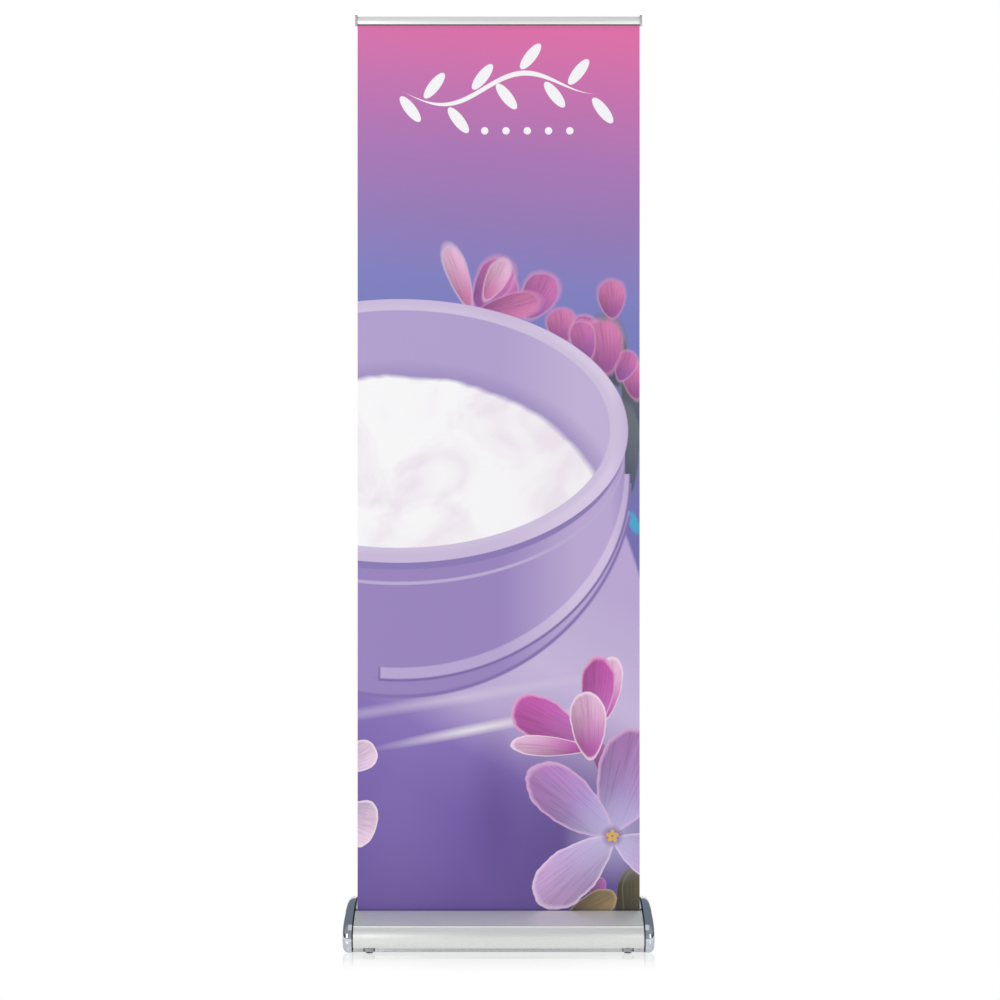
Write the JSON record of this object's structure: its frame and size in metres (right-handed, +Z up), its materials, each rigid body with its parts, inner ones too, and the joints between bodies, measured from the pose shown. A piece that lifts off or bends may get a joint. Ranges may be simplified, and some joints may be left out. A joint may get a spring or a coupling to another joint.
{
  "type": "roll-up banner stand",
  "caption": "Tall roll-up banner stand: a sprung roller in a low aluminium cassette with chromed end caps, a printed film, a clamp rail and a rear pole.",
  "frame": {"origin": "on the floor, at the middle of the base's outline", "axes": "+Z up along the pole, front of the banner faces -Y, +X to the right as seen from the front"},
  "size_m": [0.664, 0.2052, 2.012],
  "materials": {
    "anodised_aluminium": "satin, brushed along its length",
    "mill_aluminium": "mill finish",
    "chromed_plastic": "mirror",
    "zinc_steel": "zinc plated",
    "black_plastic": "fine texture",
    "grey_plastic": "satin",
    "rail_cap_plastic": "satin",
    "dark_plastic": "satin",
    "acetal": "satin",
    "black_rubber": "matte",
    "shock_cord": "braided",
    "pole_aluminium": "satin",
    "printed_film": "satin printed film"
  },
  "bodies": {
    "base": {"front_cover": "anodised_aluminium", "rear_cover": "anodised_aluminium", "base_tray": "mill_aluminium", "end_plate_left": "mill_aluminium", "end_plate_right": "mill_aluminium", "end_plate_screws": "zinc_steel", "end_cap_left": "chromed_plastic", "end_cap_right": "chromed_plastic", "pole_socket": "black_plastic", "socket_screw": "zinc_steel", "foot_guides": "black_plastic", "spring_shaft": "zinc_steel", "spring_collar": "acetal", "idle_bush": "acetal"},
    "roller": {"roller_tube": "mill_aluminium", "roller_plug_left": "black_plastic", "roller_plug_right": "black_plastic", "idle_pin": "zinc_steel", "spring_driver": "acetal", "motor_spring": "zinc_steel", "wound_film": "printed_film"},
    "pole": {"pole_foot": "black_plastic", "pole_tube_lower": "pole_aluminium", "pole_tube_middle": "pole_aluminium", "pole_tube_upper": "pole_aluminium", "pole_sleeve_lower": "pole_aluminium", "pole_sleeve_upper": "pole_aluminium", "pole_shock_cord": "shock_cord"},
    "hook": {"pole_hook": "black_plastic"},
    "rail": {"rail_back_jaw": "anodised_aluminium", "rail_grip_strip": "black_rubber", "rail_end_cap_left": "rail_cap_plastic", "rail_end_cap_right": "rail_cap_plastic", "rail_bead_plugs": "dark_plastic", "graphic": "printed_film"},
    "front_jaw": {"rail_front_jaw": "anodised_aluminium"},
    "thumbwheel_fl": {"thumbwheel_fl": "grey_plastic"},
    "foot_fl": {"foot_stud_fl": "zinc_steel", "foot_pad_fl": "black_rubber"},
    "thumbwheel_fr": {"thumbwheel_fr": "grey_plastic"},
    "foot_fr": {"foot_stud_fr": "zinc_steel", "foot_pad_fr": "black_rubber"},
    "thumbwheel_rl": {"thumbwheel_rl": "grey_plastic"},
    "foot_rl": {"foot_stud_rl": "zinc_steel", "foot_pad_rl": "black_rubber"},
    "thumbwheel_rr": {"thumbwheel_rr": "grey_plastic"},
    "foot_rr": {"foot_stud_rr": "zinc_steel", "foot_pad_rr": "black_rubber"}
  },
  "joints": [
    {"name": "pole_lift", "type": "slide", "parent": "base", "child": "pole", "axis": [0, 0, 1], "range_m": [0, 0.04]},
    {"name": "hook_turn", "type": "hinge", "parent": "pole", "child": "hook", "pos_m": [0, -0.001, 1.99], "axis": [0, 0, 1], "range_deg": [-90, 90]},
    {"name": "rail_lower", "type": "slide", "parent": "pole", "child": "rail", "axis": [0, 0, 1], "range_m": [-1.905, 0], "deforming": ["graphic"]},
    {"name": "roller_spin", "type": "hinge", "parent": "base", "child": "roller", "pos_m": [0, -0.03877, 0.031], "axis": [1, 0, 0], "range_deg": [-5800, 1080], "deforming": ["motor_spring"]},
    {"name": "clamp_open", "type": "hinge", "parent": "rail", "child": "front_jaw", "pos_m": [0, -0.0211, 2.0054], "axis": [-1, 0, 0], "range_deg": [0, 40]},
    {"name": "thumbwheel_fl_turn", "type": "hinge", "parent": "base", "child": "thumbwheel_fl", "pos_m": [-0.275, -0.082, 0.0078], "axis": [0, 0, 1], "range_deg": [0, 2300]},
    {"name": "foot_fl_slide", "type": "slide", "parent": "base", "child": "foot_fl", "axis": [0, 0, -1], "range_m": [0, 0.008]},
    {"name": "thumbwheel_fr_turn", "type": "hinge", "parent": "base", "child": "thumbwheel_fr", "pos_m": [0.275, -0.082, 0.0078], "axis": [0, 0, 1], "range_deg": [0, 2300]},
    {"name": "foot_fr_slide", "type": "slide", "parent": "base", "child": "foot_fr", "axis": [0, 0, -1], "range_m": [0, 0.008]},
    {"name": "thumbwheel_rl_turn", "type": "hinge", "parent": "base", "child": "thumbwheel_rl", "pos_m": [-0.275, 0.085, 0.0078], "axis": [0, 0, 1], "range_deg": [0, 2300]},
    {"name": "foot_rl_slide", "type": "slide", "parent": "base", "child": "foot_rl", "axis": [0, 0, -1], "range_m": [0, 0.008]},
    {"name": "thumbwheel_rr_turn", "type": "hinge", "parent": "base", "child": "thumbwheel_rr", "pos_m": [0.275, 0.085, 0.0078], "axis": [0, 0, 1], "range_deg": [0, 2300]},
    {"name": "foot_rr_slide", "type": "slide", "parent": "base", "child": "foot_rr", "axis": [0, 0, -1], "range_m": [0, 0.008]}
  ],
  "couplings": [
    {"joint": "roller_spin", "follows": "rail_lower", "rad_per_m": 53},
    {"joint": "foot_fl_slide", "follows": "thumbwheel_fl_turn", "m_per_rad": 0.00019894},
    {"joint": "foot_fr_slide", "follows": "thumbwheel_fr_turn", "m_per_rad": 0.00019894},
    {"joint": "foot_rl_slide", "follows": "thumbwheel_rl_turn", "m_per_rad": 0.00019894},
    {"joint": "foot_rr_slide", "follows": "thumbwheel_rr_turn", "m_per_rad": 0.00019894}
  ]
}
